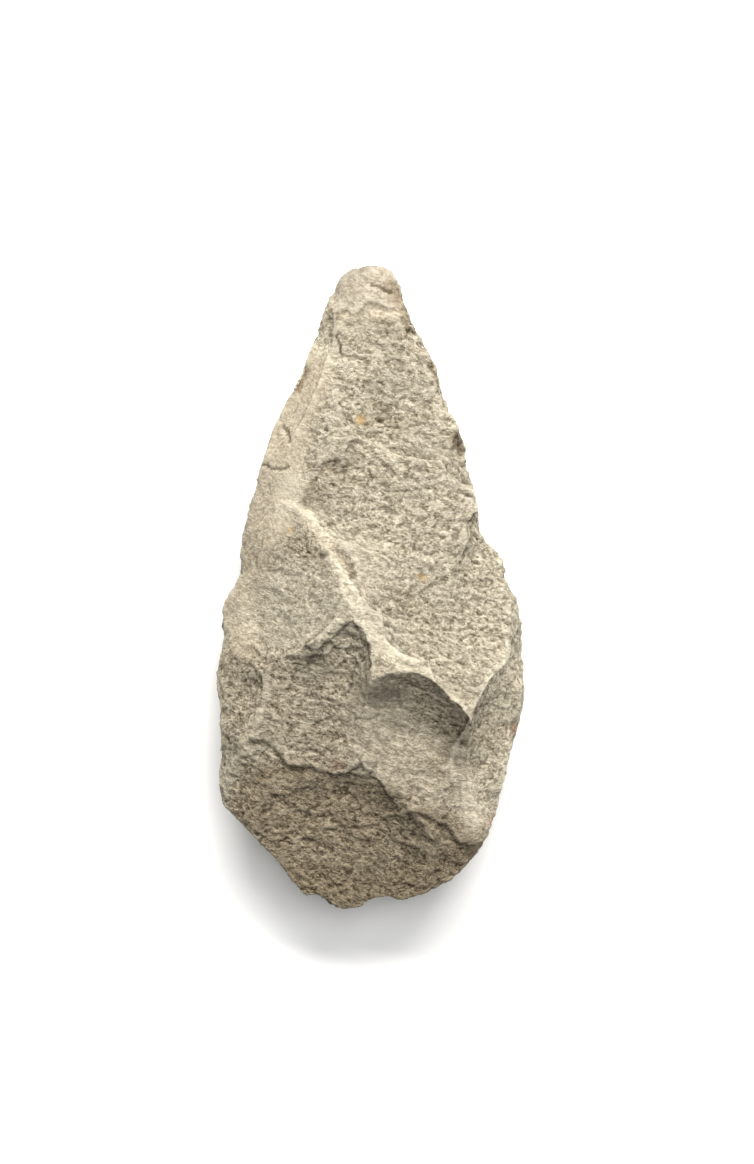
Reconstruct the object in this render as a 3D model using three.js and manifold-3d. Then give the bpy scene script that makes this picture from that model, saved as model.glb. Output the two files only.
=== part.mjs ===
// A pear-shaped stone hand axe, knapped on both faces from one slab of coarse stone.
// Millimetres, +Z up. It lies on the flat spot of its back: +Y runs from butt to tip, +X across.
import * as THREE from "three";
import { mergeVertices } from "three/addons/utils/BufferGeometryUtils.js";
import Module from "manifold-3d";

const wasm = await Module();
wasm.setup();

// Driving dimensions.
const LENGTH = 190;
const WIDTH = 92;
const FRONT_RISE = 25; // crown of the blank over the cutting edge
const BACK_RISE = 23; // crown of the blank under it
const FULLNESS = 2.6; // power of the blank's section: 2 is a parabola, more is blunter
const TIP_TAPER = 0.9; // how much less it is towards the tip, where the profile runs straighter
const EDGE_HEIGHT = 22; // cutting edge over the surface that the axe lies on
const FRONT_CROWN = [17, -31]; // where the upper face of the blank is highest
const BACK_CROWN = [1, -12]; // and where the lower face is lowest
const STONE = { color: 0xb4a88f, roughness: 0.95, metalness: 0 };

// The outline, as shares of the half width and half length, clockwise from the tip.
const OUTLINE = [
  [0.04, 1.0], [0.17, 0.97], [0.24, 0.86], [0.31, 0.79], [0.41, 0.7], [0.46, 0.63], [0.53, 0.53],
  [0.61, 0.45], [0.63, 0.36], [0.7, 0.26], [0.74, 0.15], [0.86, 0.1], [0.89, 0.03], [0.99, -0.07],
  [0.98, -0.18], [1.0, -0.28], [0.96, -0.41], [0.88, -0.55], [0.83, -0.67], [0.72, -0.8],
  [0.56, -0.89], [0.34, -0.95], [0.05, -0.992], [-0.3, -0.992], [-0.46, -0.94], [-0.58, -0.86],
  [-0.8, -0.75], [-0.97, -0.65], [-0.97, -0.5], [-0.97, -0.38], [-1.0, -0.27], [-0.95, -0.17],
  [-0.95, -0.05], [-0.86, 0.02], [-0.83, 0.15], [-0.75, 0.3], [-0.69, 0.41], [-0.57, 0.56],
  [-0.45, 0.67], [-0.36, 0.78], [-0.29, 0.88], [-0.18, 0.97],
];

// A flake scar: struck at a point of the edge, it ran inwards along run, climbing over its length.
// rise is the height of its rim over its floor, and cup how flat the floor is before the rim.
const FRONT_SCARS = [
  // the upper face, from the step under the tip down to the wedge
  { strike: [0, 45, 12], run: 92, climb: -11, length: 42, width: 60, rise: 2.5, cup: 6 },
  { strike: [24, 58, 4], run: 185, climb: 7, length: 34, width: 40, rise: 1.5, cup: 4 },
  { strike: [34, 34, 8], run: 186, climb: 3.5, length: 54, width: 48, rise: 1.6, cup: 6 },
  { strike: [42, 27, 4.5], run: 198, climb: 13, length: 56, width: 76, rise: 2, cup: 6 },
  { strike: [46, 6, 2], run: 205, climb: 19, length: 50, width: 36, rise: 4, cup: 5 },
  { strike: [46, -4, 3], run: 233, climb: 26, length: 42, width: 46, rise: 3, cup: 5 },
  // left edge, from the tip down
  { strike: [-22, 62, 0], run: 340, climb: 30, length: 9, width: 56, rise: 2, cup: 3 },
  { strike: [-36, 26, 0], run: 348, climb: 34, length: 14, width: 60, rise: 3, cup: 3 },
  { strike: [-48, -31, 2], run: 344, climb: 18, length: 19, width: 32, rise: 3, cup: 5 },
  // the stair of big hollows
  { strike: [-46, 0, 3], run: 8, climb: 19, length: 43, width: 50, rise: 4, cup: 5 },
  { strike: [-34, -66, 7], run: 68, climb: 4, length: 52, width: 60, rise: 6, cup: 5 },
  { strike: [-17, -50, 10.5], run: 74, climb: 7, length: 42.5, width: 24, rise: 5, cup: 5 },
  { strike: [14, -60, 10.5], run: 105, climb: 8, length: 38, width: 44, rise: 8, cup: 7 },
  { strike: [-18, -98, -3], run: 90, climb: 11, length: 50, width: 84, rise: 6, cup: 6 },
  { strike: [-46, -64, 0], run: 42, climb: 20, length: 26, width: 26, rise: 3, cup: 4 },
  { strike: [30, -94, -4], run: 108, climb: 24, length: 30, width: 40, rise: 5, cup: 4 },
  { strike: [44, -72, 0], run: 150, climb: 28, length: 22, width: 30, rise: 5, cup: 3 },
  // right margin
  { strike: [51, -48, -1], run: 163, climb: 25, length: 29, width: 96, rise: 7, cup: 6 },
  { strike: [28, -74, 6], run: 88, climb: 10, length: 33, width: 24, rise: 5, cup: 3 },
];
// The scars of the lower face, as seen from that side.
const BACK_SCARS = [
  { strike: [2, 94, 3], run: 268, climb: 4, length: 30, width: 26, rise: 2, cup: 4 },
  { strike: [-20, 62, 1], run: 322, climb: 19, length: 31, width: 50, rise: 2.5, cup: 4 },
  { strike: [18, 76, 0], run: 222, climb: 18, length: 30, width: 34, rise: 2.5, cup: 4 },
  { strike: [-34, 34, 2], run: 336, climb: 20, length: 38, width: 46, rise: 3, cup: 5 },
  { strike: [29, 44, 2], run: 210, climb: 19, length: 42, width: 50, rise: 3, cup: 5 },
  { strike: [-42, 6, 3], run: 355, climb: 23, length: 33, width: 50, rise: 3, cup: 5 },
  { strike: [40, 14, 2], run: 196, climb: 24, length: 33, width: 46, rise: 3, cup: 4 },
  { strike: [-48, -30, 2], run: 14, climb: 26, length: 34, width: 54, rise: 4, cup: 5 },
  { strike: [48, -18, 2], run: 170, climb: 25, length: 35, width: 52, rise: 3, cup: 4 },
  { strike: [-34, -68, 4], run: 52, climb: 21, length: 37, width: 50, rise: 4, cup: 5 },
  { strike: [44, -54, 2], run: 152, climb: 24, length: 36, width: 52, rise: 4, cup: 4 },
  { strike: [6, -99, 5], run: 96, climb: 16, length: 47, width: 68, rise: 4, cup: 5 },
];
const CHIPS = 44; // small ones round the edge, on one face and the other in turn

// A closed geometry as a solid for cutting.
function solidOf(geometry) {
  const bare = geometry.index ? geometry.toNonIndexed() : geometry.clone();
  bare.deleteAttribute("normal");
  bare.deleteAttribute("uv");
  const merged = mergeVertices(bare, 1e-3);
  const triVerts = new Uint32Array(merged.index.array);
  const vertProperties = merged.attributes.position.array;
  return new wasm.Manifold(new wasm.Mesh({ numProp: 3, vertProperties, triVerts }));
}

function outlineCurve() {
  const points = OUTLINE.map(([x, y]) => new THREE.Vector3((x * WIDTH) / 2, (y * LENGTH) / 2, 0));
  return new THREE.CatmullRomCurve3(points, true, "centripetal");
}

// The slab: the outline run straight through.
function slab() {
  const shape = new THREE.Shape();
  shape.setFromPoints(outlineCurve().getSpacedPoints(140).slice(0, -1));
  const geometry = new THREE.ExtrudeGeometry(shape, { depth: 2 * LENGTH, bevelEnabled: false, steps: 1 });
  geometry.translate(0, 0, -LENGTH);
  return solidOf(geometry);
}

// The lens: turned on a lathe, with its columns drawn out to an evened outline.
function lens() {
  const rings = 8;
  const columns = 64;
  const profile = [];
  for (let ring = rings; ring >= -rings; ring -= 1) {
    profile.push(new THREE.Vector2(1 - Math.abs(ring) / rings, ring < 0 ? -BACK_RISE : FRONT_RISE));
  }
  const outline = outlineCurve().getSpacedPoints(columns).slice(0, -1);
  const reach = 4;
  const even = outline.map((_, i) => {
    const sum = new THREE.Vector3();
    for (let k = -reach; k <= reach; k += 1) sum.add(outline[(i + k + columns) % columns]);
    return sum.divideScalar(2 * reach + 1);
  });
  const spare = 3;
  const stretch = (LENGTH / 2 + 2 * spare) / Math.max(...even.map(({ y }) => y));
  const geometry = new THREE.LatheGeometry(profile, columns);
  const position = geometry.attributes.position;
  for (let column = 0; column <= columns; column += 1) {
    const rim = even[column % columns].clone();
    rim.setLength(rim.length() + spare);
    rim.y *= stretch;
    profile.forEach(({ x: radius, y: rise }, ring) => {
      const crown = new THREE.Vector3(...(rise > 0 ? FRONT_CROWN : BACK_CROWN), 0);
      const out = rim.clone().sub(crown);
      const power = FULLNESS - TIP_TAPER * Math.max(0, out.y / out.length()) ** 2;
      crown.addScaledVector(out, radius).setZ(rise * (1 - radius ** power));
      position.setXYZ(column * profile.length + ring, crown.x, crown.y, crown.z);
    });
  }
  return solidOf(geometry);
}

// The tool that leaves one scar: a bowl whose foot is the scar's floor, with a tall flared head.
function scarTool({ strike, run, climb, length, width, rise, cup }) {
  const rings = width > 20 ? 5 : 3;
  const head = 30;
  const flare = 1.4;
  const profile = [];
  for (let ring = 0; ring <= rings; ring += 1) {
    const radius = Math.sin((ring / rings) * (Math.PI / 2));
    profile.push(new THREE.Vector2(radius, rise * radius ** cup));
  }
  profile.push(new THREE.Vector2(flare, head), new THREE.Vector2(0, head));
  const bowl = new THREE.LatheGeometry(profile, width > 20 ? 26 : 12);
  bowl.rotateX(Math.PI / 2);
  bowl.scale(length, width / 2, 1);
  bowl.rotateY(THREE.MathUtils.degToRad(-climb));
  bowl.rotateZ(THREE.MathUtils.degToRad(run));
  bowl.translate(...strike);
  return solidOf(bowl);
}

// A number from 0 to 1 that looks random and is the same each time.
function chance(index) {
  const value = Math.sin(index * 12.9898 + 4.1) * 43758.5453;
  return value - Math.floor(value);
}

// The chips of one face (1 upper, -1 lower), with x mirrored for the lower one.
function chipScars(face) {
  const curve = outlineCurve();
  const scars = [];
  for (let chip = face > 0 ? 0 : 1; chip < CHIPS; chip += 2) {
    const share = (chip + 0.8 * chance(chip)) / CHIPS;
    const point = curve.getPointAt(share % 1);
    const tangent = curve.getTangentAt(share % 1);
    scars.push({
      strike: [face * point.x, point.y, 0.5],
      run: THREE.MathUtils.radToDeg(Math.atan2(-tangent.x, face * tangent.y)) + 50 * (chance(chip + 100) - 0.5),
      climb: 34 + 14 * chance(chip + 200),
      length: 6 + 6 * chance(chip + 300) ** 2,
      width: 9 + 9 * chance(chip + 400),
      rise: 2,
      cup: 3,
    });
  }
  return scars;
}

// The ground under the lower face: it grinds the flat spot that the axe lies on.
function ground() {
  const block = new THREE.BoxGeometry(2 * WIDTH, 2 * LENGTH, WIDTH);
  block.translate(0, 0, -EDGE_HEIGHT - WIDTH / 2);
  return solidOf(block);
}

function knap() {
  let stone = slab().intersect(lens());
  for (const scar of [...FRONT_SCARS, ...chipScars(1)]) stone = stone.subtract(scarTool(scar));
  for (const scar of [...BACK_SCARS, ...chipScars(-1)]) {
    stone = stone.subtract(scarTool(scar).rotate([0, 180, 0]));
  }
  return stone.subtract(ground());
}

function geometryOf(solid) {
  const { vertProperties, triVerts } = solid.getMesh();
  const geometry = new THREE.BufferGeometry();
  geometry.setAttribute("position", new THREE.BufferAttribute(vertProperties, 3));
  geometry.setIndex(new THREE.BufferAttribute(triVerts, 1));
  geometry.computeVertexNormals();
  return geometry;
}

const axe = new THREE.Mesh(geometryOf(knap()), new THREE.MeshStandardMaterial(STONE));
axe.name = "hand_axe";
axe.position.z = EDGE_HEIGHT;

const handAxe = new THREE.Group();
handAxe.add(axe);
export default handAxe;
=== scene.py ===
"""A knapped stone hand axe, lying loose on a plain pale floor in soft studio light."""

import logging
import math
from dataclasses import dataclass
from enum import Enum

import bmesh
import bpy
import numpy as np
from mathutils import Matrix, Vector
from mathutils.kdtree import KDTree


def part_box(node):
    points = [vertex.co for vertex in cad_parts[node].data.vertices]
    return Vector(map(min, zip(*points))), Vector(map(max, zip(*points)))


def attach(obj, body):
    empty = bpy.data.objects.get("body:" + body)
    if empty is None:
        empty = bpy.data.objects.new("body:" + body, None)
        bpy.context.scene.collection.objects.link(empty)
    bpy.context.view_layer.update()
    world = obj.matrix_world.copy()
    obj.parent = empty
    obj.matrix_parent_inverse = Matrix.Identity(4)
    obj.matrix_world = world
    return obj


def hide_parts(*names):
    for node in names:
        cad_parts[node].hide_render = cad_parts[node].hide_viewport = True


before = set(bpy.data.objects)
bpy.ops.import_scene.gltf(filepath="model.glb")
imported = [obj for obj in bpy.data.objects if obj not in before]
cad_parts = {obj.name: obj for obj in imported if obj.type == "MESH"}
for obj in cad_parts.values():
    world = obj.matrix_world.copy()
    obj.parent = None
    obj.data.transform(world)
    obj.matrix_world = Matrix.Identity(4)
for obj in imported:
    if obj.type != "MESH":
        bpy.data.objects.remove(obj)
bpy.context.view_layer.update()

LOG = logging.getLogger("hand_axe")
MM = 0.001
SEED = 190

Colour = tuple[float, float, float]
Point2 = tuple[float, float]


class Mark(Enum):
    """What the skin of the stone shows at a mark; the value names the mesh attribute."""

    SMOOTH = "smooth_skin"
    WARM = "warm_skin"
    # paler skin, and painted light on crests, scar edges and shaded scars
    PALE_AND_LIT = "pale_and_painted_light_skin"
    # painted shade, and the browner skin of the butt
    SHADE_AND_BROWN = "painted_shade_and_brown_skin"
    # painted grey shade on the tip cap and left margin, which face the light
    GREY_SHADE = "painted_grey_shade"
    OCHRE = "ochre_spot"
    RUST = "rust_spot"
    # painted shade in the cracks
    CRACK_SHADE = "painted_crack_shade"
    WORN = "worn_ridge"


def smoothstep(low: float, high: float, value: np.ndarray) -> np.ndarray:
    """Eases from 0 at low to 1 at high.

    Args:
        low: Where the result starts to leave 0.
        high: Where the result reaches 1.
        value: The values to ease.

    Returns:
        The eased values, from 0 to 1.
    """
    t = np.clip((value - low) / (high - low), 0.0, 1.0)
    return t * t * (3.0 - 2.0 * t)


class LatticeNoise:
    """Seeded gradient noise on a cubic lattice, about -1 to 1, with a cell of one unit."""

    CELLS = 256

    def __init__(self, seed: int) -> None:
        """Draws the lattice.

        Args:
            seed: The number that fixes the lattice.
        """
        rng = np.random.default_rng(seed)
        self.order = rng.permutation(self.CELLS)
        spread = rng.normal(size=(self.CELLS, 3))
        self.gradients = spread / np.linalg.norm(spread, axis=1, keepdims=True)

    def at(self, points: np.ndarray) -> np.ndarray:
        """Reads the noise.

        Args:
            points: Rows of three coordinates, in cells.

        Returns:
            One value for each row.
        """
        cell = np.floor(points).astype(np.int64)
        part = points - cell
        ease = part * part * part * (part * (part * 6.0 - 15.0) + 10.0)
        total = np.zeros(len(points))
        for corner in np.ndindex(2, 2, 2):
            step = np.array(corner)
            spot = (cell + step) % self.CELLS
            code = self.order[spot[:, 0]]
            code = self.order[(code + spot[:, 1]) % self.CELLS]
            code = self.order[(code + spot[:, 2]) % self.CELLS]
            dot = np.einsum("ij,ij->i", self.gradients[code], part - step)
            share = np.prod(np.where(step == 1, ease, 1.0 - ease), axis=1)
            total += share * dot
        return total * 1.7

    def layers(self, points: np.ndarray, count: int, gain: float = 0.5) -> np.ndarray:
        """Sums layers of noise, each twice as fine as the last.

        Args:
            points: Rows of three coordinates, in cells of the coarsest layer.
            count: How many layers.
            gain: Each layer's height as a share of the one before.

        Returns:
            One value for each row, about -1 to 1.
        """
        total = np.zeros(len(points))
        height = 1.0
        reach = 0.0
        for layer in range(count):
            total += height * self.at(points * 2.0**layer + 17.3 * layer)
            reach += height
            height *= gain
        return total / reach


@dataclass(frozen=True)
class Trace:
    """A mark that follows a line over the upper face of the stone.

    Its points are shares of the half width and the half length from the middle of the axe, and
    level is how squarely upwards the skin must face for the mark to show.
    """

    mark: Mark
    points: tuple[Point2, ...]
    reach: float
    fade: float
    strength: float = 1.0
    level: float = -1.0
    level_fade: float = 0.12

    def weight(self, skin: "Skin") -> np.ndarray:
        """How strongly the mark shows at each vertex.

        Args:
            skin: The stone's surface.

        Returns:
            A value from 0 to the trace's strength for each vertex.
        """
        away, _ = skin.along(self.points)
        held = self.strength * (1.0 - smoothstep(self.reach, self.reach + self.fade, np.abs(away)))
        held = held * smoothstep(self.level - self.level_fade, self.level, skin.facing)
        return held * skin.upper


@dataclass(frozen=True)
class Groove:
    """A crack, a bite or a scoop in the upper face, or a lump where its depth is below 0."""

    points: tuple[Point2, ...]
    width: float
    depth: float

    def cut(self, skin: "Skin") -> np.ndarray:
        """How deep the groove goes at each vertex.

        Args:
            skin: The stone's surface.

        Returns:
            A depth in millimetres for each vertex.
        """
        away, _ = skin.along(self.points)
        return self.depth * (1.0 - smoothstep(0.0, self.width, np.abs(away))) * skin.upper


@dataclass(frozen=True)
class Lip:
    """A ragged step where one scar breaks into the next; it drops on the line's right.

    Lengths are in millimetres, and a drop below 0 raises that side instead.
    """

    points: tuple[Point2, ...]
    drop: float
    ramp: float
    crest: float = 0.0
    cliff: float = 0.35
    crest_back: float = 0.5
    crest_width: float = 0.9
    end_share: float = 0.12

    def cut(self, skin: "Skin") -> np.ndarray:
        """How much the lip lowers each vertex.

        Args:
            skin: The stone's surface.

        Returns:
            A depth in millimetres for each vertex, below 0 on the lip's raised crest.
        """
        away, inside = skin.along(self.points)
        ends = smoothstep(0.0, self.end_share, inside)
        fall = self.drop * smoothstep(-self.cliff, self.cliff, away)
        fall *= np.exp(-np.clip(away, 0.0, None) / self.ramp)
        rise = self.crest * np.exp(-((away + self.crest_back) / self.crest_width) ** 2)
        return ends * (fall - rise) * skin.upper


class Skin:
    """The vertices of the stone in millimetres, with what is measured on them."""

    wander: float = 1.1
    wander_size: float = 4.5
    rim_tilt: Point2 = (0.15, 0.75)
    rim_height: Point2 = (2.0, 8.0)

    def __init__(self, mesh: bpy.types.Mesh, half: Point2) -> None:
        """Reads the mesh.

        Args:
            mesh: A mesh of quads and triangles, in metres.
            half: Half the width and half the length of the axe, in millimetres.
        """
        self.half = half
        count = len(mesh.vertices)
        self.points = np.empty(count * 3)
        mesh.vertices.foreach_get("co", self.points)
        self.points = self.points.reshape(-1, 3) / MM
        self.edges = np.empty(len(mesh.edges) * 2, np.int64)
        mesh.edges.foreach_get("vertices", self.edges)
        self.edges = self.edges.reshape(-1, 2)
        mesh.calc_loop_triangles()
        self.triangles = np.empty(len(mesh.loop_triangles) * 3, np.int64)
        mesh.loop_triangles.foreach_get("vertices", self.triangles)
        self.triangles = self.triangles.reshape(-1, 3)
        ends = self.edges.ravel()
        self.valence = np.bincount(ends, minlength=count).clip(1)[:, None]
        self.facing = self.normals()[:, 2]
        self.upper = self.facing > 0.0
        self.bent = self.points[:, :2] + np.stack(
            [self.wander * LatticeNoise(SEED + turn).layers(self.points / self.wander_size, 3)
             for turn in (1, 2)], axis=1)

    def around(self, values: np.ndarray) -> np.ndarray:
        """The mean of the neighbours of each vertex.

        Args:
            values: One row of values for each vertex.

        Returns:
            The means, in the same shape.
        """
        count = len(self.points)
        first, second = self.edges.T
        sums = np.empty_like(values)
        for column in range(values.shape[1]):
            row = values[:, column]
            sums[:, column] = np.bincount(first, row[second], count)
            sums[:, column] += np.bincount(second, row[first], count)
        return sums / self.valence

    def smoothed(self, values: np.ndarray, rounds: int, hold: np.ndarray | None = None) -> np.ndarray:
        """Evens values out over the surface.

        Args:
            values: One row of values for each vertex.
            rounds: How many times each vertex moves half way to its neighbours.
            hold: How firmly each vertex keeps its own value, from 0 to 1.

        Returns:
            The evened values.
        """
        pull = 0.5 if hold is None else 0.5 * (1.0 - hold)[:, None]
        for _ in range(rounds):
            values = values + pull * (self.around(values) - values)
        return values

    def normals(self) -> np.ndarray:
        """The outward direction at each vertex."""
        a, b, c = (self.points[self.triangles[:, corner]] for corner in range(3))
        face = np.cross(b - a, c - a)
        total = np.zeros_like(self.points)
        for corner in range(3):
            for axis in range(3):
                total[:, axis] += np.bincount(self.triangles[:, corner], face[:, axis], len(total))
        return total / np.linalg.norm(total, axis=1, keepdims=True).clip(1e-12)

    def rim(self, normals: np.ndarray) -> np.ndarray:
        """How near each vertex is to the cutting edge, from 0 to 1, by how far it faces outwards."""
        outward = 1.0 - smoothstep(*self.rim_tilt, np.abs(normals[:, 2]))
        return outward * smoothstep(*self.rim_height, self.points[:, 2])

    def along(self, line: tuple[Point2, ...]) -> tuple[np.ndarray, np.ndarray]:
        """Where each vertex lies beside a line, seen from above.

        Args:
            line: Its points, as shares of the half width and half length.

        Returns:
            The distance in millimetres, above 0 on the line's right, and how near the line's
            middle it is, from 0 at either end.
        """
        route = np.array(line) * self.half
        if len(route) == 1:
            return np.linalg.norm(self.bent - route[0], axis=1), np.ones(len(self.bent))
        nearest = np.full(len(self.bent), np.inf)
        signed = np.zeros(len(self.bent))
        place = np.zeros(len(self.bent))
        total = sum(np.linalg.norm(end - start) for start, end in zip(route[:-1], route[1:]))
        passed = 0.0
        for start, end in zip(route[:-1], route[1:]):
            run = end - start
            size = np.linalg.norm(run)
            offset = self.bent - start
            share = np.clip(offset @ run / size**2, 0.0, 1.0)
            away = np.linalg.norm(offset - share[:, None] * run, axis=1)
            closer = away < nearest
            side = np.sign(offset[:, 1] * run[0] - offset[:, 0] * run[1])
            nearest[closer] = away[closer]
            signed[closer] = (-side * away)[closer]
            place[closer] = ((passed + share * size) / total)[closer]
            passed += size
        return signed, np.minimum(place, 1.0 - place)


class PlateNoise:
    """Seeded flakes: cells that each lean their own way and meet in small steps."""

    CELLS = 256

    def __init__(self, seed: int) -> None:
        """Draws the cells.

        Args:
            seed: The number that fixes them.
        """
        rng = np.random.default_rng(seed)
        self.order = rng.permutation(self.CELLS)
        self.centres = rng.random((self.CELLS, 3))
        self.leans = rng.normal(size=(self.CELLS, 3))
        self.steps = rng.uniform(-1.0, 1.0, self.CELLS)

    def at(self, points: np.ndarray, lean: float, step: float) -> np.ndarray:
        """Reads the height of the flake at each point.

        Args:
            points: Rows of three coordinates, in cells.
            lean: How much the flakes lean.
            step: How much they differ in level.

        Returns:
            One value for each row.
        """
        cell = np.floor(points).astype(np.int64)
        nearest = np.full(len(points), np.inf)
        height = np.zeros(len(points))
        for corner in np.ndindex(3, 3, 3):
            spot = cell + np.array(corner) - 1
            code = self.order[spot[:, 0] % self.CELLS]
            code = self.order[(code + spot[:, 1]) % self.CELLS]
            code = self.order[(code + spot[:, 2]) % self.CELLS]
            offset = points - spot - self.centres[code]
            away = np.einsum("ij,ij->i", offset, offset)
            closer = away < nearest
            level = lean * np.einsum("ij,ij->i", self.leans[code], offset) + step * self.steps[code]
            nearest[closer] = away[closer]
            height[closer] = level[closer]
        return height


@dataclass(frozen=True)
class Relief:
    """The heights of the broken stone's texture, in millimetres."""

    swell: float = 0.38
    swell_size: float = 13.0
    swell_gain: float = 0.68
    swell_finer: float = 1.9
    swell_finest: float = 1.4
    plate: float = 0.12
    plate_step: float = 0.17
    plate_size: float = 3.0
    plate_bend: float = 0.7
    plate_bend_size: float = 2.2
    small_plate: float = 1.9
    shelf: float = 0.42
    shelf_size: float = 9.0
    shelf_count: float = 2.6
    shelf_cliff: float = 0.8
    pit: float = 0.8
    pit_size: float = 2.0
    pit_range: Point2 = (0.62, 0.95)
    bed_stretch: float = 1.9
    bed_turn: float = -15.0
    inset: float = 0.22
    nibble: float = 1.6
    nibble_size: float = 6.0
    fine_nibble: float = 0.4
    fine_nibble_finer: float = 2.7

    def bedded(self, spots: np.ndarray) -> np.ndarray:
        """Turns and stretches points along the beds of the stone.

        Args:
            spots: Points in millimetres.

        Returns:
            The points in the beds' own directions, squeezed along their run.
        """
        turn = math.radians(self.bed_turn)
        across = spots[:, 0] * math.cos(turn) + spots[:, 1] * math.sin(turn)
        along = spots[:, 1] * math.cos(turn) - spots[:, 0] * math.sin(turn)
        return np.stack((across / self.bed_stretch, along, spots[:, 2]), axis=1)

    def swells(self, beds: np.ndarray) -> np.ndarray:
        """Uneven rise and fall at every size down to the mesh.

        Args:
            beds: Points along the beds, in millimetres.

        Returns:
            Heights in millimetres.
        """
        noise = LatticeNoise(SEED + 3)
        total = np.zeros(len(beds))
        height, size = self.swell, self.swell_size
        while size > self.swell_finest:
            total += height * noise.at(beds / size + size)
            height *= self.swell_gain
            size /= self.swell_finer
        return total

    def plates(self, beds: np.ndarray) -> np.ndarray:
        """Small flakes with crisp steps between them.

        Args:
            beds: Points along the beds, in millimetres.

        Returns:
            Heights in millimetres.
        """
        spots = beds / self.plate_bend_size
        bend = np.stack([LatticeNoise(SEED + turn).layers(spots, 2) for turn in (4, 5, 6)], axis=1)
        warped = (beds + self.plate_bend * bend) / self.plate_size
        coarse = PlateNoise(SEED + 7).at(warped, self.plate, self.plate_step)
        small = warped * self.small_plate
        fine = PlateNoise(SEED + 8).at(small, self.plate * 0.6, self.plate_step * 0.5)
        return coarse + fine

    def shelves(self, beds: np.ndarray) -> np.ndarray:
        """Steps where the stone has broken back along a bed.

        Args:
            beds: Points along the beds, in millimetres.

        Returns:
            Heights in millimetres, with short cliffs between gentle slopes.
        """
        rise = self.shelf_count * LatticeNoise(SEED + 9).layers(beds / self.shelf_size, 4)
        level = np.floor(rise)
        edge = smoothstep(self.shelf_cliff, 1.0, rise - level)
        return self.shelf * (level + edge - rise)

    def nibbles(self, spots: np.ndarray) -> np.ndarray:
        """Small bites out of the cutting edge, with sharp points between them.

        Args:
            spots: Points in millimetres.

        Returns:
            Depths in millimetres.
        """
        noise = LatticeNoise(SEED + 11)
        coarse = np.abs(noise.at(spots / self.nibble_size))
        fine = np.abs(noise.at(spots / self.nibble_size * self.fine_nibble_finer + 5.0))
        return self.nibble * (coarse + self.fine_nibble * fine)

    def pits(self, beds: np.ndarray) -> np.ndarray:
        """Small sharp holes, scattered.

        Args:
            beds: Points along the beds, in millimetres.

        Returns:
            Depths in millimetres, 0 or below.
        """
        found = LatticeNoise(SEED + 10).at(beds / self.pit_size)
        return -self.pit * smoothstep(*self.pit_range, found)


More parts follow.
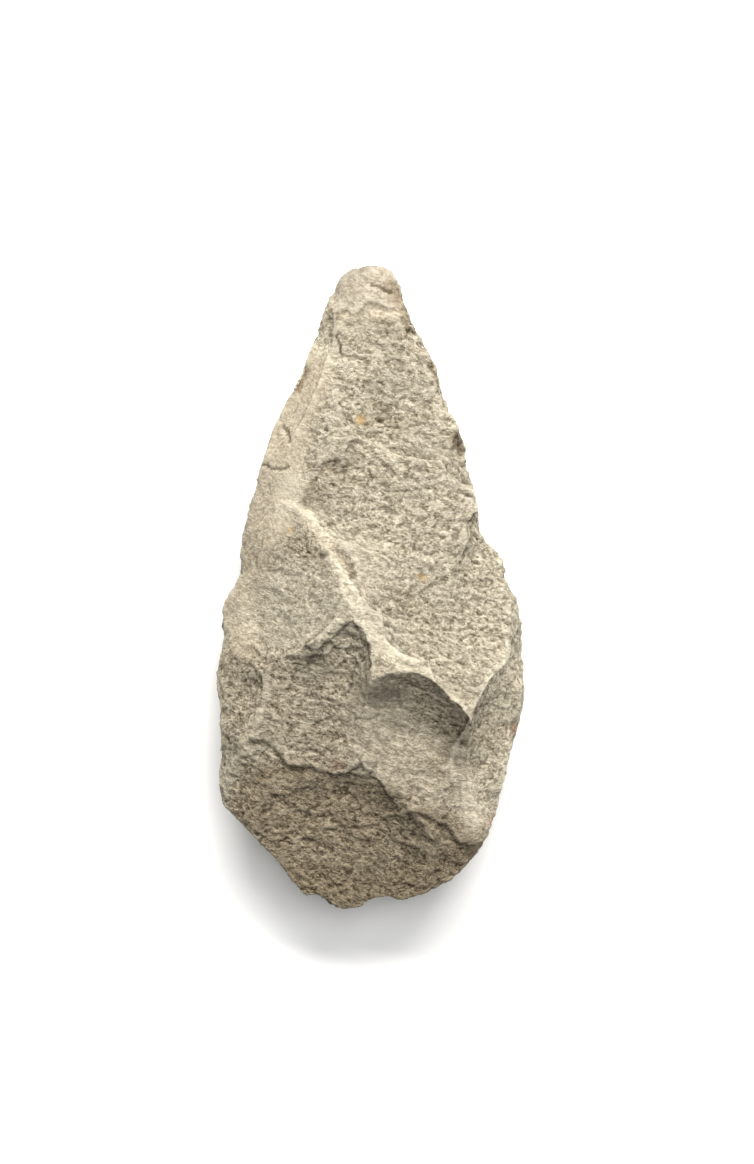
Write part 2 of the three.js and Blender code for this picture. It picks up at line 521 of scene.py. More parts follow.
@dataclass(frozen=True)
class StoneFinish:
    """The colours and the fine skin of the coarse grey stone."""

    name: str = "stone"
    light: Colour = (0.70, 0.64, 0.50)
    body: Colour = (0.385, 0.335, 0.243)
    dark: Colour = (0.068, 0.050, 0.027)
    # also the painted highlight on ridges, crests and scar edges
    pale_and_highlight: Colour = (0.64, 0.58, 0.455)
    warm: Colour = (0.37, 0.31, 0.222)
    green: Colour = (0.26, 0.25, 0.19)
    # painted shade, with the butt's browner tint
    shade_and_brown_tint: Colour = (0.565, 0.51, 0.44)
    # painted shade on the tip cap and left margin
    grey_shade_tint: Colour = (0.66, 0.66, 0.68)
    ochre: Colour = (0.50, 0.31, 0.11)
    rust: Colour = (0.22, 0.085, 0.035)
    roughness: float = 0.92
    specular: float = 0.25
    grain_size: float = 0.85
    fleck_size: float = 0.5
    clump_size: float = 4.2
    run: float = 1.45
    rise: float = 1.2
    turn: float = -16.0
    cloud_size: float = 13.0
    warp_size: float = 4.0
    warp: float = 1.6
    grain_tone: float = 2.0
    fleck_tone: float = 0.80
    clump_tone: float = 0.80
    # painted shade in the pits and painted highlight on the peaks of the relief
    relief_shading_tone: float = 0.10
    # more grain contrast in the painted shade, as if under grazing light
    shade_contrast: float = 1.4
    dark_tones: Point2 = (-0.80, 0.0)
    light_tones: Point2 = (-0.05, 0.75)
    green_clouds: Point2 = (0.45, 0.75)
    green_share: float = 0.4
    hollow_shade_share: float = 0.45
    # painted shade and dirt in the hollows
    ridge_highlight_share: float = 0.35
    # painted highlight and wear on the ridges
    warm_share: float = 0.6
    painted_light_share: float = 0.45
    ochre_share: float = 0.55
    rust_share: float = 0.75
    # how dark the painted shade in the cracks is
    crack_shade_share: float = 0.8
    bump_height: float = 1.5
    fleck_bump: float = 0.38
    smooth_bump: float = 0.4

    def material(self) -> bpy.types.Material:
        """Builds the stone material.

        Returns:
            The material, made of nodes alone.
        """
        bench = NodeBench(self.name)
        place = bench.add("ShaderNodeTexCoord").outputs["Object"]
        bed = bench.add("ShaderNodeMapping")
        bed.vector_type = "TEXTURE"
        bed.inputs["Rotation"].default_value = (0.0, 0.0, math.radians(self.turn))
        bed.inputs["Scale"].default_value = (self.run, 1.0, self.rise)
        bench.link(place, bed.inputs["Vector"])
        bedded = bench.warped(bed.outputs["Vector"], 1.0 / (self.warp_size * MM), self.warp * MM)
        grain = bench.noise(bedded, 1.0 / (self.grain_size * MM), detail=4.0, roughness=0.75)
        clump = bench.noise(bedded, 1.0 / (self.clump_size * MM), detail=3.0, roughness=0.65)
        fleck = bench.flecks(bedded, 1.0 / (self.fleck_size * MM))
        cloud = bench.noise(place, 1.0 / (self.cloud_size * MM), detail=3.0, roughness=0.55)

        relief = bench.attribute("relief_height")
        # painted shade and dirt in the hollows
        hollow_shade_and_dirt = bench.attribute("hollow_shade_and_dirt")
        # painted highlight and wear on the ridges
        ridge_highlight_and_wear = bench.attribute("ridge_highlight_and_wear")
        smooth = bench.attribute(Mark.SMOOTH.value)
        # painted shade, and the browner skin of the butt
        painted_shade = bench.attribute(Mark.SHADE_AND_BROWN.value)

        # the relief height adds painted shade in its pits and painted highlight on its peaks
        tone = bench.sum(
            bench.centred(grain, self.grain_tone),
            bench.centred(fleck, self.fleck_tone),
            bench.centred(clump, self.clump_tone),
            bench.scaled(relief, self.relief_shading_tone),
        )
        # more contrast in the painted shade of the butt, as if under grazing light
        tone = bench.product(tone, bench.remap(painted_shade, 0.0, 1.0, 1.0, self.shade_contrast))
        colour = bench.mix(self.dark, self.body, bench.remap(tone, *self.dark_tones))
        colour = bench.mix(colour, self.light, bench.remap(tone, *self.light_tones))
        green = bench.remap(cloud, *self.green_clouds, 0.0, self.green_share)
        colour = bench.mix(colour, self.green, green)
        # painted shade and dirt darken the hollows
        colour = bench.mix(colour, self.dark, bench.scaled(hollow_shade_and_dirt, self.hollow_shade_share))
        # painted highlight and wear pale the ridges
        colour = bench.mix(colour, self.pale_and_highlight, bench.scaled(ridge_highlight_and_wear, self.ridge_highlight_share))
        colour = bench.marked(colour, self.warm, Mark.WARM, self.warm_share)
        # paler skin, and painted light
        colour = bench.marked(colour, self.pale_and_highlight, Mark.PALE_AND_LIT, self.painted_light_share)
        # painted shade, with the browner tint of the butt
        colour = bench.multiply(colour, self.shade_and_brown_tint, painted_shade)
        # painted grey shade on the tip cap and left margin
        colour = bench.multiply(colour, self.grey_shade_tint, bench.attribute(Mark.GREY_SHADE.value))
        colour = bench.marked(colour, self.ochre, Mark.OCHRE, self.ochre_share)
        colour = bench.marked(colour, self.rust, Mark.RUST, self.rust_share)
        # painted shade in the cracks
        colour = bench.marked(colour, self.dark, Mark.CRACK_SHADE, self.crack_shade_share)

        height = bench.sum(bench.scaled(grain, 1.0), bench.scaled(fleck, self.fleck_bump))
        bump = bench.add("ShaderNodeBump")
        bump.inputs["Distance"].default_value = self.bump_height * MM
        bench.link(bench.remap(smooth, 0.0, 1.0, 1.0, self.smooth_bump), bump.inputs["Strength"])
        bench.link(height, bump.inputs["Height"])

        shader = bench.shader
        bench.link(colour, shader.inputs["Base Color"])
        bench.link(bench.remap(grain, 0.3, 0.7, self.roughness - 0.08, self.roughness + 0.06),
                   shader.inputs["Roughness"])
        bench.link(bump.outputs["Normal"], shader.inputs["Normal"])
        shader.inputs["Specular IOR Level"].default_value = self.specular
        return bench.material


@dataclass(frozen=True)
class FloorFinish:
    """The matt white of the studio floor."""

    name: str = "studio_floor"
    colour: Colour = (0.88, 0.88, 0.87)
    roughness: float = 0.95
    drift: float = 0.985
    drift_scale: float = 3.0

    def material(self) -> bpy.types.Material:
        """Builds the floor material.

        Returns:
            The material, made of nodes alone.
        """
        bench = NodeBench(self.name)
        place = bench.add("ShaderNodeTexCoord").outputs["Object"]
        drift = bench.noise(place, self.drift_scale, detail=2.0, roughness=0.5)
        shade = tuple(part * self.drift for part in self.colour)
        bench.link(bench.mix(self.colour, shade, drift), bench.shader.inputs["Base Color"])
        bench.shader.inputs["Roughness"].default_value = self.roughness
        return bench.material


class NodeBench:
    """Lays out the nodes of one material."""

    def __init__(self, name: str) -> None:
        """Starts a material.

        Args:
            name: The material's name.
        """
        self.material = bpy.data.materials.new(name)
        self.material.use_nodes = True
        self.tree = self.material.node_tree
        self.shader = next(node for node in self.tree.nodes if node.type == "BSDF_PRINCIPLED")

    def add(self, kind: str) -> bpy.types.Node:
        """Adds a node of one kind."""
        return self.tree.nodes.new(kind)

    def link(self, source: bpy.types.NodeSocket, target: bpy.types.NodeSocket) -> None:
        """Joins two sockets."""
        self.tree.links.new(source, target)

    def feed(self, value: object, target: bpy.types.NodeSocket) -> None:
        """Links a socket, or sets a number or colour.

        Args:
            value: A socket, a number or a colour.
            target: The socket that takes it.
        """
        if isinstance(value, bpy.types.NodeSocket):
            self.link(value, target)
        elif isinstance(value, tuple):
            target.default_value = (*value, 1.0)
        else:
            target.default_value = value

    def attribute(self, name: str) -> bpy.types.NodeSocket:
        """Reads a value stored on the mesh."""
        node = self.add("ShaderNodeAttribute")
        node.attribute_name = name
        return node.outputs["Fac"]

    def noise(self, place: bpy.types.NodeSocket, scale: float, detail: float,
              roughness: float) -> bpy.types.NodeSocket:
        """Adds noise.

        Args:
            place: Where it is read.
            scale: Cells in a metre.
            detail: How many finer layers it has.
            roughness: How strong the finer layers are.

        Returns:
            The noise, from 0 to 1.
        """
        node = self.add("ShaderNodeTexNoise")
        node.inputs["Scale"].default_value = scale
        node.inputs["Detail"].default_value = detail
        node.inputs["Roughness"].default_value = roughness
        self.link(place, node.inputs["Vector"])
        return node.outputs["Fac"]

    def warped(self, place: bpy.types.NodeSocket, scale: float, reach: float) -> bpy.types.NodeSocket:
        """Bends a pattern's coordinates.

        Args:
            place: The coordinates.
            scale: Bends in a metre.
            reach: How far a point may shift, in metres.

        Returns:
            The bent coordinates.
        """
        node = self.add("ShaderNodeTexNoise")
        node.inputs["Scale"].default_value = scale
        node.inputs["Detail"].default_value = 1.0
        self.link(place, node.inputs["Vector"])
        shift = self.add("ShaderNodeVectorMath")
        shift.operation = "MULTIPLY_ADD"
        self.link(node.outputs["Color"], shift.inputs[0])
        shift.inputs[1].default_value = (reach, reach, reach)
        self.link(place, shift.inputs[2])
        return shift.outputs["Vector"]

    def flecks(self, place: bpy.types.NodeSocket, scale: float) -> bpy.types.NodeSocket:
        """Adds grains that each have their own value.

        Args:
            place: Where they are read.
            scale: Grains in a metre.

        Returns:
            The value of each grain, from 0 to 1.
        """
        node = self.add("ShaderNodeTexVoronoi")
        node.inputs["Scale"].default_value = scale
        self.link(place, node.inputs["Vector"])
        split = self.add("ShaderNodeSeparateColor")
        self.link(node.outputs["Color"], split.inputs["Color"])
        return split.outputs["Red"]

    def scaled(self, value: bpy.types.NodeSocket, factor: float) -> bpy.types.NodeSocket:
        """Multiplies a value by a number."""
        node = self.add("ShaderNodeMath")
        node.operation = "MULTIPLY"
        self.link(value, node.inputs[0])
        node.inputs[1].default_value = factor
        return node.outputs[0]

    def centred(self, value: bpy.types.NodeSocket, factor: float) -> bpy.types.NodeSocket:
        """Moves a value from 0 to 1 so that its middle is 0, and multiplies it by a number."""
        return self.scaled(self.remap(value, 0.0, 1.0, -0.5, 0.5), factor)

    def product(self, first: bpy.types.NodeSocket, second: bpy.types.NodeSocket) -> bpy.types.NodeSocket:
        """Multiplies two values."""
        result = self.scaled(first, 1.0)
        self.link(second, result.node.inputs[1])
        return result

    def sum(self, *values: bpy.types.NodeSocket) -> bpy.types.NodeSocket:
        """Adds values up.

        Args:
            values: The sockets to add.

        Returns:
            Their sum.
        """
        total = values[0]
        for value in values[1:]:
            node = self.add("ShaderNodeMath")
            node.operation = "ADD"
            self.link(total, node.inputs[0])
            self.link(value, node.inputs[1])
            total = node.outputs[0]
        return total

    def remap(self, value: bpy.types.NodeSocket, low: float, high: float, out_low: float = 0.0,
              out_high: float = 1.0) -> bpy.types.NodeSocket:
        """Maps one range to another and holds it there.

        Args:
            value: The socket to map.
            low: The value that gives out_low.
            high: The value that gives out_high.
            out_low: The result at low.
            out_high: The result at high.

        Returns:
            The mapped value.
        """
        node = self.add("ShaderNodeMapRange")
        numbers = {"From Min": low, "From Max": high, "To Min": out_low, "To Max": out_high}
        for name, number in numbers.items():
            node.inputs[name].default_value = number
        self.link(value, node.inputs["Value"])
        return node.outputs["Result"]

    def mix(self, first: object, second: object, share: bpy.types.NodeSocket) -> bpy.types.NodeSocket:
        """Blends two colours.

        Args:
            first: The colour, or its socket, at share 0.
            second: The colour, or its socket, at share 1.
            share: How much of the second shows.

        Returns:
            The blended colour.
        """
        node = self.add("ShaderNodeMix")
        node.data_type = "RGBA"
        self.link(share, node.inputs[0])
        self.feed(first, node.inputs[6])
        self.feed(second, node.inputs[7])
        return node.outputs[2]

    def marked(self, first: bpy.types.NodeSocket, second: Colour, mark: Mark,
               share: float) -> bpy.types.NodeSocket:
        """Blends a colour in where a mark shows.

        Args:
            first: The colour away from the mark.
            second: The colour of the mark.
            mark: The mark.
            share: How much of the second shows where the mark is strongest.

        Returns:
            The blended colour.
        """
        return self.mix(first, second, self.scaled(self.attribute(mark.value), share))

    def multiply(self, first: object, tint: Colour, share: bpy.types.NodeSocket) -> bpy.types.NodeSocket:
        """Tints a colour.

        Args:
            first: The colour, or its socket, at share 0.
            tint: What it is multiplied by at share 1.
            share: How much of the tint shows.

        Returns:
            The tinted colour.
        """
        result = self.mix(first, tint, share)
        result.node.blend_type = "MULTIPLY"
        return result


@dataclass(frozen=True)
class HandAxe:
    """The knapped stone, with the broken texture that its solid leaves out."""

    finish: StoneFinish = StoneFinish()
    relief: Relief = Relief()
    node: str = "hand_axe"
    name: str = "hand_axe_stone"
    cell: float = 0.66
    crease_soft: float = 17.0
    crease_hard: float = 31.0
    crease_reach: float = 1.3
    evening: int = 90
    edge_share: float = 0.47
    rest_fade: float = 1.6
    rim_hold: float = 0.85
    crease_hold_most: float = 0.97
    crease_spacing: float = 0.5
    crease_gain: float = 1.6
    smooth_ease: float = 0.7
    crack_width: float = 0.7
    crack_depth: float = 0.55
    near_rounds: int = 6
    far_rounds: int = 40
    near_unit: float = 0.1
    hollow_full: float = 0.12
    arris_full: float = 0.14
    ridge_full: float = 0.6
    arris_weight: float = 0.6

    crest_line: tuple[Point2, ...] = (
        (-0.414, 0.2265), (-0.277, 0.1325), (-0.162, 0.02), (-0.082, -0.0755), (0.054, -0.17),
        (0.211, -0.222), (0.366, -0.27), (0.523, -0.325), (0.61, -0.385),
    )

    traces: tuple[Trace, ...] = (
        # the worn cap of the tip
        Trace(Mark.SMOOTH, ((-0.12, 0.90), (0.13, 0.93), (0.10, 0.89)), 5.5, 3.0),
        Trace(Mark.WARM, ((-0.10, 0.90), (0.10, 0.94)), 8.0, 6.0, 0.5),
        # painted grey shade on the tip cap, which faces the light
        Trace(Mark.GREY_SHADE, ((-0.10, 0.96), (0.10, 0.97)), 7.0, 9.0),
        # painted shade down the flank of the tip
        Trace(Mark.SHADE_AND_BROWN, ((0.14, 0.93), (0.21, 0.87), (0.26, 0.80)), 1.0, 2.6, 0.9),
        # the smooth margin down the left
        Trace(Mark.SMOOTH, ((-0.38, 0.70), (-0.52, 0.48), (-0.62, 0.20)), 4.0, 5.0, 0.7),
        Trace(Mark.WARM, ((-0.42, 0.66), (-0.56, 0.46), (-0.68, 0.22), (-0.84, 0.0)), 5.0, 6.0, 0.8),
        Trace(Mark.PALE_AND_LIT, ((-0.48, 0.30), (-0.50, 0.22), (-0.38, 0.22)), 2.5, 4.0, 0.6),
        Trace(Mark.SMOOTH, ((-0.88, 0.0), (-0.80, -0.17)), 3.0, 3.0, 0.6),
        Trace(Mark.WARM, ((-0.90, 0.0), (-0.82, -0.17)), 4.0, 3.0, 0.6),
        # painted grey shade down the left margin
        Trace(Mark.GREY_SHADE, ((-0.50, 0.55), (-0.62, 0.30), (-0.84, 0.0)), 6.0, 8.0, 0.22),
        # the crest that runs down to the nose of the wedge
        Trace(Mark.SMOOTH, crest_line, 1.6, 1.6, 0.6, 0.92),
        # paler skin and painted light along the top of the crest
        Trace(Mark.PALE_AND_LIT, crest_line, 1.2, 2.4, 0.45, 0.92),
        Trace(Mark.PALE_AND_LIT, ((-0.54, 0.26), (-0.45, 0.24), (-0.37, 0.22)), 0.8, 2.0, 0.8),
        # painted shade in the shallow scoop beside the crest
        Trace(Mark.SHADE_AND_BROWN, ((-0.225, 0.13), (-0.17, 0.08), (-0.11, 0.045)), 0.8, 1.6, 0.55),
        # painted highlight on the step beside the crest
        Trace(Mark.PALE_AND_LIT, ((-0.08, 0.02), (-0.01, -0.055), (0.075, -0.115), (0.13, -0.15)), 0.15, 0.6,
              0.9),
        # painted highlight on the crest by the nose
        Trace(Mark.PALE_AND_LIT, ((0.40, -0.265), (0.50, -0.31), (0.57, -0.355), (0.61, -0.385)), 0.5, 0.9, 0.8),
        # the right margin
        Trace(Mark.SMOOTH, ((0.90, -0.24), (0.84, -0.45), (0.72, -0.66)), 5.0, 4.0, 0.4),
        Trace(Mark.PALE_AND_LIT, ((0.50, -0.50), (0.56, -0.56), (0.60, -0.64), (0.64, -0.77)), 2.0, 3.5, 0.75),
        Trace(Mark.PALE_AND_LIT, ((0.30, -0.60), (0.38, -0.63), (0.36, -0.67)), 2.0, 4.0, 0.55),
        # painted light lifting the shade of the lower middle scar
        Trace(Mark.PALE_AND_LIT, ((0.05, -0.38), (0.12, -0.50), (0.28, -0.52)), 6.0, 8.0, 0.65),
        Trace(Mark.PALE_AND_LIT, ((-0.60, -0.08), (-0.30, -0.02), (-0.10, 0.06)), 7.0, 7.0, 0.4),
        # painted shade on the wall under the nose of the wedge
        Trace(Mark.SHADE_AND_BROWN, ((0.55, -0.42), (0.47, -0.49), (0.40, -0.56)), 1.2, 3.0, 0.55),
        # the browner skin of the butt, with painted shade where it faces away from the light
        Trace(Mark.SHADE_AND_BROWN, ((-0.55, -0.70), (-0.05, -0.76), (0.30, -0.84)), 13.0, 9.0, 0.88),
        Trace(Mark.SHADE_AND_BROWN, ((-0.40, -0.92), (0.0, -0.97), (0.40, -0.92), (0.66, -0.86)), 6.0, 9.0),
        Trace(Mark.SHADE_AND_BROWN, ((-0.75, -0.36), (0.0, -0.42), (0.35, -0.45)), 13.0, 12.0, 0.32),
        # shaded hollows of the upper face
        Trace(Mark.SHADE_AND_BROWN, ((-0.36, 0.27), (-0.31, 0.32), (-0.20, 0.35)), 2.0, 5.0, 0.42),
        Trace(Mark.SHADE_AND_BROWN, ((0.02, 0.53), (0.16, 0.50)), 1.5, 4.5, 0.36),
        Trace(Mark.SHADE_AND_BROWN, ((0.06, 0.82), (0.15, 0.78)), 1.0, 3.0, 0.32),
        Trace(Mark.SHADE_AND_BROWN, ((-0.46, 0.17), (-0.34, 0.11)), 2.5, 5.0, 0.35),
        Trace(Mark.SHADE_AND_BROWN, ((0.16, -0.03), (0.36, -0.10)), 1.5, 5.0, 0.25),
        # painted highlights on the edges of the scars
        Trace(Mark.PALE_AND_LIT, ((-0.645, -0.26), (-0.66, -0.34), (-0.70, -0.41), (-0.78, -0.47)), 0.2, 0.7,
              0.9),
        Trace(Mark.PALE_AND_LIT, ((-0.03, -0.27), (-0.05, -0.34), (-0.09, -0.45), (-0.095, -0.52)), 0.1, 0.6,
              0.6),
        # ridges that weather has taken down
        Trace(Mark.WORN, ((0.02, 0.40), (0.25, 0.33), (0.50, 0.31)), 2.5, 3.0, 0.8),
        Trace(Mark.WORN, ((-0.20, 0.14), (0.0, 0.10), (0.35, 0.09)), 3.0, 3.0),
        # the shaded bites out of the edge
        Trace(Mark.SHADE_AND_BROWN, ((-0.45, 0.665), (-0.50, 0.62)), 1.5, 2.0, 0.9),
        Trace(Mark.SHADE_AND_BROWN, ((0.42, 0.68), (0.46, 0.63)), 1.2, 2.0, 0.9),
        Trace(Mark.SHADE_AND_BROWN, ((0.55, 0.46), (0.58, 0.43)), 1.5, 2.0, 0.9),
        # stains
        Trace(Mark.OCHRE, ((-0.07, 0.512), (-0.055, 0.508)), 0.7, 1.0),
        Trace(Mark.OCHRE, ((-0.51, 0.177),), 0.4, 0.8, 0.8),
        Trace(Mark.OCHRE, ((0.31, 0.033), (0.345, 0.03)), 0.4, 1.0, 0.7),
        Trace(Mark.RUST, ((-0.19, -0.54),), 0.6, 2.0, 0.5),
        Trace(Mark.RUST, ((0.94, -0.44),), 0.8, 1.6, 0.8),
        Trace(Mark.RUST, ((0.79, -0.72),), 0.8, 1.6, 0.8),
    )

    grooves: tuple[Groove, ...] = (
        # bites out of the edge
        Groove(((-0.45, 0.665), (-0.50, 0.62)), 3.6, 0.9),
        Groove(((0.42, 0.68), (0.46, 0.63)), 3.2, 1.0),
        Groove(((0.56, 0.46), (0.59, 0.43)), 3.4, 1.3),
        # pits
        Groove(((-0.31, 0.098), (-0.29, 0.10)), 1.8, 1.2),
        Groove(((0.06, 0.515), (0.08, 0.51)), 1.5, 1.2),
        Groove(((0.055, 0.628), (0.085, 0.622)), 0.9, 1.0),
        # the flank of the tip, and the shallow scoop beside the crest
        Groove(((0.19, 0.94), (0.25, 0.87), (0.28, 0.80)), 4.5, 1.1),
        Groove(((-0.225, 0.135), (-0.18, 0.09), (-0.12, 0.05)), 3.4, 0.45),
        # streaks down the right of the butt
        Groove(((0.535, -0.52), (0.56, -0.60), (0.575, -0.70)), 1.0, 0.30),
        Groove(((0.60, -0.50), (0.615, -0.60), (0.635, -0.72)), 1.0, 0.20),
        Groove(((0.49, -0.55), (0.51, -0.62), (0.545, -0.71)), 1.0, 0.25),
        # the foot of the wall under the wedge, half filled
        Groove(((0.02, -0.275), (0.15, -0.285), (0.33, -0.325), (0.46, -0.375), (0.54, -0.43)), 6.0,
               -1.2),
        # lumps left standing
        Groove(((0.32, -0.61), (0.37, -0.63)), 3.0, -0.7),
        Groove(((0.28, -0.655), (0.26, -0.68)), 2.2, -0.5),
        Groove(((0.64, -0.77), (0.66, -0.775)), 2.8, -0.5),
        Groove(((-0.52, 0.255), (-0.47, 0.245)), 2.4, -0.6),
        Groove(((-0.42, 0.23), (-0.39, 0.22)), 2.2, -0.45),
    )

    cracks: tuple[tuple[Point2, ...], ...] = (
        ((-0.72, 0.385), (-0.66, 0.375), (-0.62, 0.36), (-0.52, 0.37)),
        ((-0.56, 0.50), (-0.53, 0.48), (-0.52, 0.45)),
        ((0.00, 0.935), (0.07, 0.918), (0.14, 0.91)),
        ((-0.225, 0.775), (-0.205, 0.745), (-0.195, 0.715)),
    )

    lips: tuple[Lip, ...] = (
        # under the cap of the tip
        Lip(((-0.30, 0.86), (-0.245, 0.843), (-0.16, 0.853), (-0.10, 0.834), (-0.03, 0.874),
             (0.05, 0.87), (0.13, 0.853), (0.20, 0.87)), 0.7, 3.0, 0.15),
        # the rim of the high left hollow, and the ledge above it
        Lip(((-0.46, 0.24), (-0.43, 0.28), (-0.37, 0.335), (-0.29, 0.378), (-0.18, 0.40)), 1.0, 7.0,
            0.15, 1.1),
        Lip(((-0.16, 0.445), (-0.08, 0.455), (0.0, 0.44), (0.09, 0.39), (0.18, 0.34)), 0.5, 3.0, 0.1),
        # either side of the crest
        Lip(((-0.08, -0.10), (-0.19, -0.01), (-0.27, 0.08), (-0.38, 0.18), (-0.47, 0.215)), -0.3, 3.0,
            0.12),
        Lip(((-0.075, 0.02), (-0.01, -0.055), (0.075, -0.115), (0.15, -0.16)), -0.3, 2.5, 0.15),
        Lip(((-0.175, 0.13), (-0.135, 0.10), (-0.095, 0.06), (-0.07, 0.025)), 0.55, 3.0, 0.15),
        # the broken foot of the upper left scar
        Lip(((-0.85, -0.18), (-0.755, -0.18), (-0.68, -0.208), (-0.54, -0.208), (-0.42, -0.223),
             (-0.34, -0.20), (-0.26, -0.162), (-0.16, -0.116), (-0.11, -0.09)), 0.5, 4.0, 0.2),
        # the thin ridge round the lower left scar
        Lip(((-0.88, -0.50), (-0.81, -0.478), (-0.77, -0.455), (-0.71, -0.393), (-0.67, -0.323),
             (-0.63, -0.27)), -0.5, 3.0, 0.3),
        # between the two middle scars
        Lip(((-0.02, -0.25), (-0.035, -0.30), (-0.06, -0.36), (-0.09, -0.45), (-0.095, -0.52)),
            -0.3, 3.0, 0.25),
        # down the right of the lower middle scar
        Lip(((0.626, -0.387), (0.585, -0.425), (0.52, -0.49), (0.465, -0.555)), 0.7, 4.0, 0.2),
        # over the last scar of the butt
        Lip(((0.193, -0.703), (0.26, -0.69), (0.333, -0.697), (0.466, -0.719), (0.52, -0.748),
             (0.572, -0.787), (0.692, -0.80)), 0.9, 5.0, 0.2),
        # the lip over the dark butt scar, with its peak
        Lip(((-0.88, -0.507), (-0.77, -0.461), (-0.66, -0.47), (-0.57, -0.507), (-0.54, -0.544),
             (-0.37, -0.55), (-0.23, -0.575), (-0.16, -0.568), (-0.10, -0.55), (-0.08, -0.53),
             (0.0, -0.562), (0.06, -0.594), (0.12, -0.64), (0.20, -0.695)), 0.9, 5.0, 0.2),
    )

    def build(self) -> bpy.types.Object:
        """Makes the textured stone over the solid.

        Returns:
            The stone, riding on the root body.
        """
        low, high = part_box(self.node)
        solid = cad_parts[self.node]
        half = ((high.x - low.x) / 2.0 / MM, (high.y - low.y) / 2.0 / MM)
        mesh = self.fine_mesh(solid.data)
        skin = Skin(mesh, half)
        self.even(skin, self.crease_hold(skin, solid.data) * (1.0 - self.mark_at(skin, Mark.WORN)))
        marks = self.roughen(skin)
        skin.points = np.clip(skin.points, np.array(low) / MM, np.array(high) / MM)
        mesh.vertices.foreach_set("co", (skin.points * MM).ravel().astype(np.float32))
        for name, values in marks.items():
            layer = mesh.attributes.new(name, "FLOAT", "POINT")
            layer.data.foreach_set("value", values.astype(np.float32))
        mesh.shade_smooth()
        mesh.update()
        mesh.materials.clear()
        mesh.materials.append(self.finish.material())
        stone = bpy.data.objects.new(self.name, mesh)
        bpy.context.scene.collection.objects.link(stone)
        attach(stone, "root")
        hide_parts(self.node)
        return stone

    def fine_mesh(self, solid: bpy.types.Mesh) -> bpy.types.Mesh:
        """Covers the solid with an even fine mesh.

        Args:
            solid: The mesh of the solid.

        Returns:
            A new mesh of small even faces.
        """
        blank = bpy.data.objects.new("blank", solid.copy())
        bpy.context.scene.collection.objects.link(blank)
        remesh = blank.modifiers.new("even", "REMESH")
        remesh.mode = "VOXEL"
        remesh.voxel_size = self.cell * MM
        ready = blank.evaluated_get(bpy.context.evaluated_depsgraph_get())
        mesh = bpy.data.meshes.new_from_object(ready)
        mesh.name = self.name
        bpy.data.objects.remove(blank)
        return mesh

    def crease_hold(self, skin: Skin, solid: bpy.types.Mesh) -> np.ndarray:
        """Finds the ridges and hollows between scars, which stay sharp.

        Args:
            skin: The fine surface.
            solid: The mesh of the solid.

        Returns:
            A value for each vertex, 1 on a sharp crease and 0 away from one.
        """
        sheet = bmesh.new()
        sheet.from_mesh(solid)
        bmesh.ops.remove_doubles(sheet, verts=sheet.verts, dist=1e-6)
        places: list[Vector] = []
        weights: list[float] = []
        soft, hard = math.radians(self.crease_soft), math.radians(self.crease_hard)
        for edge in sheet.edges:
            angle = edge.calc_face_angle(0.0)
            if angle <= soft:
                continue
            weight = min(1.0, (angle - soft) / (hard - soft))
            start, end = (corner.co / MM for corner in edge.verts)
            steps = max(1, math.ceil((end - start).length / self.crease_spacing))
            for step in range(steps + 1):
                places.append(start.lerp(end, step / steps))
                weights.append(weight)
        sheet.free()
        tree = KDTree(len(places))
        for index, place in enumerate(places):
            tree.insert(place, index)
        tree.balance()
        hold = np.zeros(len(skin.points))
        for row, point in enumerate(skin.points):
            for _, index, away in tree.find_n(point, 3):
                share = 1.0 - away / self.crease_reach
                if share > 0.0:
                    hold[row] = max(hold[row], weights[index] * min(1.0, self.crease_gain * share))
        return hold

    def mark_at(self, skin: Skin, mark: Mark) -> np.ndarray:
        """How strongly one kind of mark shows at each vertex.

        Args:
            skin: The fine surface.
            mark: The kind of mark.

        Returns:
            A value from 0 to 1 for each vertex.
        """
        held = np.zeros(len(skin.points))
        # the cracks also carry painted shade
        cracks = [Trace(Mark.CRACK_SHADE, line, 0.0, 0.6) for line in self.cracks]
        for trace in (*self.traces, *cracks):
            if trace.mark is mark:
                held = np.maximum(held, trace.weight(skin))
        return held

    def even(self, skin: Skin, hold: np.ndarray) -> None:
        """Rounds the solid's facets off, and leaves its creases.

        Args:
            skin: The fine surface, whose points move.
            hold: How firmly each vertex stays.
        """
        rim = skin.rim(skin.normals())
        hold = np.maximum(hold, self.rim_hold * rim)
        skin.points = skin.smoothed(skin.points, self.evening, self.crease_hold_most * hold)
        skin.points = skin.smoothed(skin.points, 2)
        skin.facing = skin.normals()[:, 2]

    def roughen(self, skin: Skin) -> dict[str, np.ndarray]:
        """Breaks the skin up, and reads off what the finish needs.

        Args:
            skin: The fine surface, whose points move.

        Returns:
            Named values for each vertex.
        """
        normals = skin.normals()
        marks = {mark.value: self.mark_at(skin, mark) for mark in Mark if mark is not Mark.WORN}
        smooth = marks[Mark.SMOOTH.value]
        beds = self.relief.bedded(skin.points)
        rough = 1.0 - self.smooth_ease * smooth
        fine = self.relief.plates(beds) + self.relief.pits(beds)
        fine += self.relief.swells(beds) + self.relief.shelves(beds)
        height = rough * fine - self.relief.inset - self.relief.nibbles(skin.points) * skin.rim(normals)
        splits = [Groove(line, self.crack_width, self.crack_depth) for line in self.cracks]
        for mark in (*self.grooves, *self.lips, *splits):
            height -= mark.cut(skin)
        spots = skin.points
        free = smoothstep(0.0, self.rest_fade, spots[:, 2])
        skin.points = spots + normals * (height * free)[:, None]
        around = skin.smoothed(skin.points, self.near_rounds)
        wide = skin.smoothed(around, self.far_rounds)
        fresh = skin.normals()
        near = np.einsum("ij,ij->i", skin.points - around, fresh)
        far = np.einsum("ij,ij->i", around - wide, fresh)
        # the relief height, for painted shade and highlight
        marks["relief_height"] = near / self.near_unit
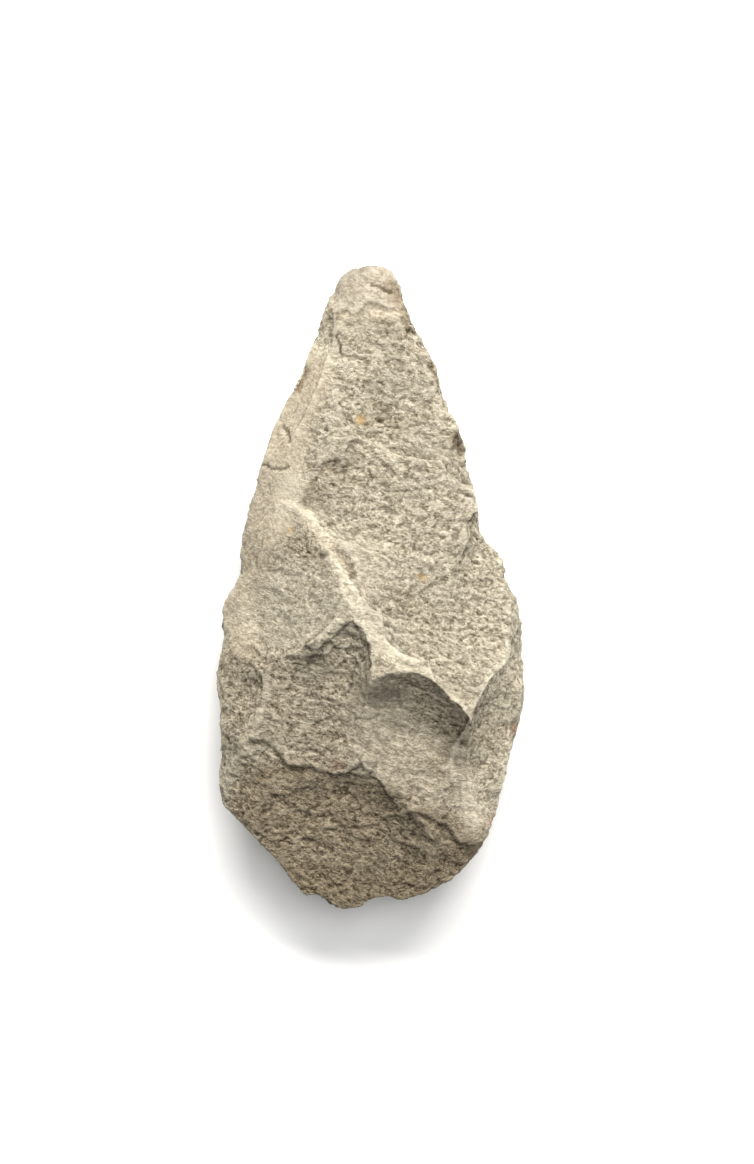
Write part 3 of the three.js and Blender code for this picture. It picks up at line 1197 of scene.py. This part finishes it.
        # painted shade and dirt for the hollows
        marks["hollow_shade_and_dirt"] = np.clip(-near / self.hollow_full, 0.0, 1.0)
        # painted highlight and wear for the ridges
        ridge_highlight_and_wear = np.clip(near / self.arris_full, 0.0, 1.0) * self.arris_weight
        marks["ridge_highlight_and_wear"] = ridge_highlight_and_wear + np.clip(far / self.ridge_full, 0.0, 1.0) * self.arris_weight
        return marks


@dataclass(frozen=True)
class Floor:
    """The pale floor that the axe lies on."""

    finish: FloorFinish = FloorFinish()
    side: float = 6.0

    def build(self) -> bpy.types.Object:
        """Makes the floor.

        Returns:
            The floor.
        """
        sheet = bmesh.new()
        bmesh.ops.create_grid(sheet, x_segments=2, y_segments=2, size=self.side / 2.0)
        mesh = bpy.data.meshes.new("floor")
        sheet.to_mesh(mesh)
        sheet.free()
        mesh.materials.append(self.finish.material())
        floor = bpy.data.objects.new("floor", mesh)
        bpy.context.scene.collection.objects.link(floor)
        return floor


@dataclass(frozen=True)
class Softbox:
    """A soft light that faces the axe."""

    name: str
    place: tuple[float, float, float]
    width: float
    height: float
    power: float
    colour: Colour = (1.0, 1.0, 1.0)

    def build(self, target: Vector) -> bpy.types.Object:
        """Hangs the light.

        Args:
            target: The point it faces.

        Returns:
            The light.
        """
        data = bpy.data.lights.new(self.name, "AREA")
        data.shape = "RECTANGLE"
        data.size = self.width
        data.size_y = self.height
        data.energy = self.power
        data.color = self.colour
        light = bpy.data.objects.new(self.name, data)
        light.location = self.place
        light.rotation_euler = (target - light.location).to_track_quat("-Z", "Y").to_euler()
        bpy.context.scene.collection.objects.link(light)
        return light


@dataclass(frozen=True)
class Studio:
    """The lights, the room light and the camera."""

    key: Softbox = Softbox("key", (0.10, 0.62, 0.62), 0.80, 0.30, 17.5, (1.0, 0.985, 0.965))
    fill: Softbox = Softbox("fill", (0.15, 0.15, 1.1), 0.7, 0.7, 6.0)
    room: Colour = (1.0, 1.0, 1.0)
    room_strength: float = 0.36
    camera_height: float = 1.1
    sensor: float = 36.0
    length_share: float = 0.5576
    aim: Point2 = (0.0102, 0.0085)

    def build(self, low: Vector, high: Vector, edge_share: float) -> None:
        """Sets up the studio round the axe.

        Args:
            low: The axe's lowest corner.
            high: The axe's highest corner.
            edge_share: The height of the cutting edge as a share of the axe's thickness.
        """
        middle = (low + high) / 2.0
        for light in (self.key, self.fill):
            light.build(middle)
        world = bpy.data.worlds.new("room")
        world.use_nodes = True
        back = world.node_tree.nodes["Background"]
        back.inputs["Color"].default_value = (*self.room, 1.0)
        back.inputs["Strength"].default_value = self.room_strength
        bpy.context.scene.world = world
        bpy.context.scene.view_settings.view_transform = "Standard"
        self.camera(middle, high.y - low.y, edge_share * high.z)

    def camera(self, middle: Vector, length: float, edge_height: float) -> bpy.types.Object:
        """Hangs the camera straight above, with the tip at the top of the picture.

        Args:
            middle: The middle of the axe.
            length: The axe's length.
            edge_height: The height of its cutting edge.

        Returns:
            The camera.
        """
        data = bpy.data.cameras.new("camera")
        data.sensor_width = self.sensor
        data.lens = self.sensor * self.camera_height * self.length_share / length
        camera = bpy.data.objects.new("camera", data)
        across, along = (share * length for share in self.aim)
        camera.location = (middle.x + across, middle.y + along, edge_height + self.camera_height)
        bpy.context.scene.collection.objects.link(camera)
        bpy.context.scene.camera = camera
        return camera


def main() -> None:
    """Builds the axe and its studio in order."""
    logging.basicConfig(level=logging.INFO, format="%(name)s: %(message)s")
    axe = HandAxe()
    stone = axe.build()
    LOG.info("%s: %d triangles", stone.name, len(stone.data.loop_triangles))
    floor = Floor().build()
    LOG.info("%s: %.1f m across", floor.name, floor.dimensions.x)
    low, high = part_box(axe.node)
    Studio().build(low, high, axe.edge_share)


if __name__ == "__main__":
    main()
